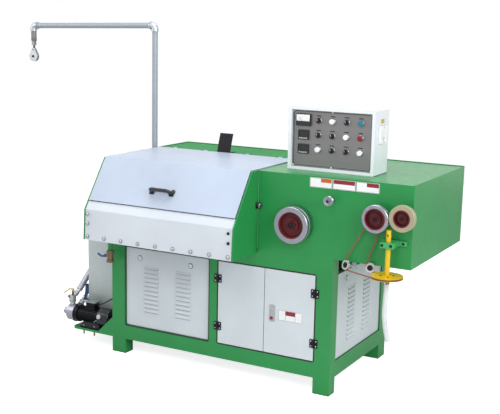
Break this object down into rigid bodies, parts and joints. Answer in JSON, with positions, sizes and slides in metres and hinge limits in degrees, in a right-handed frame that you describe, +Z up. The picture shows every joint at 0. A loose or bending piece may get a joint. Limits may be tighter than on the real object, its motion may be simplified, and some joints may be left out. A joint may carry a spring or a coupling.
{
  "type": "wire drawing machine",
  "caption": "Wire drawing machine with a lidded drawing chamber, front capstan, belt-driven laying tube, control box, coolant pump and overhead wire guide.",
  "frame": {"origin": "centre of the bounding box on the floor under the feet", "axes": "+X to the right along the front, from the overhead sheave to the press wheel; +Y from the front to the back; +Z up"},
  "size_m": [2.8308, 1.071, 1.9085],
  "materials": {
    "machine_green": "gloss enamel",
    "grey_panel": "satin enamel",
    "white_panel": "satin enamel",
    "lid_paint": "gloss enamel",
    "tank_paint": "satin enamel",
    "yellow_paint": "gloss enamel",
    "red_paint": "gloss enamel",
    "cream_rubber": "matt",
    "ground_steel": "ground",
    "bright_steel": "polished",
    "zinc_steel": "galvanised",
    "cast_aluminium": "cast",
    "brass": "cast",
    "black_steel": "satin",
    "black_plastic": "matt",
    "motor_black": "semi-gloss",
    "blue_vinyl": "satin",
    "pale_vinyl": "satin",
    "belt_rubber": "matt",
    "white_hose": "satin",
    "black_rubber": "matt",
    "control_face": "satin enamel",
    "instrument_case": "gloss",
    "knob_black": "gloss",
    "pale_plastic": "satin",
    "panel_metal": "anodised",
    "button_caps": "gloss",
    "dark_iron": "as cast"
  },
  "bodies": {
    "machine": {"legs": "machine_green", "rails": "machine_green", "cabinet_floor": "grey_panel", "vent_panels": "grey_panel", "plain_panels": "grey_panel", "panel_latches": "bright_steel", "door_hinges": "black_steel", "drive_pulley": "dark_iron", "right_housing": "machine_green", "rear_housing": "machine_green", "hood_side_plates": "machine_green", "hood_cover": "white_panel", "chamber_tray": "grey_panel", "drain_pipe": "machine_green", "lid_hinges": "machine_green", "lid_rest": "black_steel", "wire_guide": "bright_steel", "wheel_bearings": "black_steel", "idler_axles": "zinc_steel", "drive_belt": "belt_rubber", "tube_bracket": "machine_green", "control_box": "control_face", "control_plate": "panel_metal", "panel_instruments": "instrument_case", "selector_knobs": "knob_black", "push_buttons": "button_caps", "side_socket": "pale_plastic", "guide_pipes": "zinc_steel", "pipe_elbows": "zinc_steel", "pump_platform": "machine_green", "coolant_tank": "tank_paint", "pump_motor": "motor_black", "pump_head": "cast_aluminium", "coolant_pipes": "zinc_steel", "brass_valves": "brass", "pump_cable": "black_rubber"},
    "lid": {"hood_lid": "lid_paint", "lid_handle": "black_plastic"},
    "left_door": {"left_door": "grey_panel", "left_door_leaves": "black_steel"},
    "right_door": {"right_door": "grey_panel", "right_door_leaves": "black_steel", "door_lock": "pale_plastic"},
    "capstan": {"capstan_rim": "ground_steel", "capstan_hub": "red_paint"},
    "guide_roller": {"guide_roller": "bright_steel"},
    "pull_wheel": {"pull_wheel_rim": "ground_steel", "pull_wheel_hub": "red_paint"},
    "press_wheel": {"press_wheel_rim": "cream_rubber", "press_wheel_hub": "red_paint"},
    "left_idler": {"left_idler": "cast_aluminium"},
    "right_idler": {"right_idler": "cast_aluminium"},
    "laying_gear": {"laying_tube": "yellow_paint", "laying_disc": "yellow_paint", "outlet_hose": "white_hose"},
    "pulley_block": {"pulley_block": "black_steel"},
    "sheave": {"pulley_sheave": "cast_aluminium"},
    "drain_lever": {"drain_lever": "blue_vinyl"},
    "delivery_lever": {"delivery_lever": "pale_vinyl"},
    "suction_lever": {"suction_lever": "blue_vinyl"}
  },
  "joints": [
    {"name": "lid_hinge", "type": "hinge", "parent": "machine", "child": "lid", "pos_m": [0.05045, 0.2095, 1.1615], "axis": [-1, 0, 0], "range_deg": [0, 105]},
    {"name": "left_door_hinge", "type": "hinge", "parent": "machine", "child": "left_door", "pos_m": [0.28895, -0.278, 0.4], "axis": [0, 0, -1], "range_deg": [0, 110]},
    {"name": "right_door_hinge", "type": "hinge", "parent": "machine", "child": "right_door", "pos_m": [0.87195, -0.278, 0.4], "axis": [0, 0, 1], "range_deg": [0, 110]},
    {"name": "capstan_spin", "type": "hinge", "parent": "machine", "child": "capstan", "pos_m": [0.75145, -0.306, 0.9], "axis": [0, -1, 0], "continuous": true},
    {"name": "guide_roller_spin", "type": "hinge", "parent": "machine", "child": "guide_roller", "pos_m": [0.95345, -0.3365, 1.047], "axis": [0, -1, 0], "continuous": true},
    {"name": "pull_wheel_spin", "type": "hinge", "parent": "machine", "child": "pull_wheel", "pos_m": [1.21245, -0.3125, 0.987], "axis": [0, -1, 0], "continuous": true},
    {"name": "press_wheel_spin", "type": "hinge", "parent": "machine", "child": "press_wheel", "pos_m": [1.3494, -0.3125, 1.004], "axis": [0, -1, 0], "continuous": true},
    {"name": "left_idler_spin", "type": "hinge", "parent": "machine", "child": "left_idler", "pos_m": [1.0549, -0.30954, 0.72865], "axis": [-0.4121, -0.8806, 0.2339], "continuous": true},
    {"name": "right_idler_spin", "type": "hinge", "parent": "machine", "child": "right_idler", "pos_m": [1.17627, -0.29149, 0.72918], "axis": [0.2836, -0.9536, -0.1007], "continuous": true},
    {"name": "laying_tube_spin", "type": "hinge", "parent": "machine", "child": "laying_gear", "pos_m": [1.28345, -0.3375, 0.706], "axis": [0, 0, 1], "continuous": true},
    {"name": "pulley_swing", "type": "hinge", "parent": "machine", "child": "pulley_block", "pos_m": [-1.3834, 0.1925, 1.75101], "axis": [0, 1, 0], "range_deg": [-25, 25]},
    {"name": "sheave_spin", "type": "hinge", "parent": "pulley_block", "child": "sheave", "pos_m": [-1.3834, 0.1925, 1.67301], "axis": [0, 1, 0], "continuous": true},
    {"name": "drain_valve", "type": "hinge", "parent": "machine", "child": "drain_lever", "pos_m": [-0.42455, -0.3325, 0.586], "axis": [-1, 0, 0], "range_deg": [0, 90]},
    {"name": "delivery_valve", "type": "hinge", "parent": "machine", "child": "delivery_lever", "pos_m": [-0.75655, -0.2225, 0.305], "axis": [0.322, -0.3578, 0.8765], "range_deg": [0, 90]},
    {"name": "suction_valve", "type": "hinge", "parent": "machine", "child": "suction_lever", "pos_m": [-0.75455, -0.1105, 0.222], "axis": [0, -1, 0], "range_deg": [0, 90]}
  ],
  "couplings": [
    {"joint": "press_wheel_spin", "follows": "pull_wheel_spin", "ratio": -1.0606},
    {"joint": "left_idler_spin", "follows": "pull_wheel_spin", "ratio": 1.2876},
    {"joint": "right_idler_spin", "follows": "pull_wheel_spin", "ratio": -1.2876},
    {"joint": "laying_tube_spin", "follows": "pull_wheel_spin", "ratio": 0.38961}
  ]
}
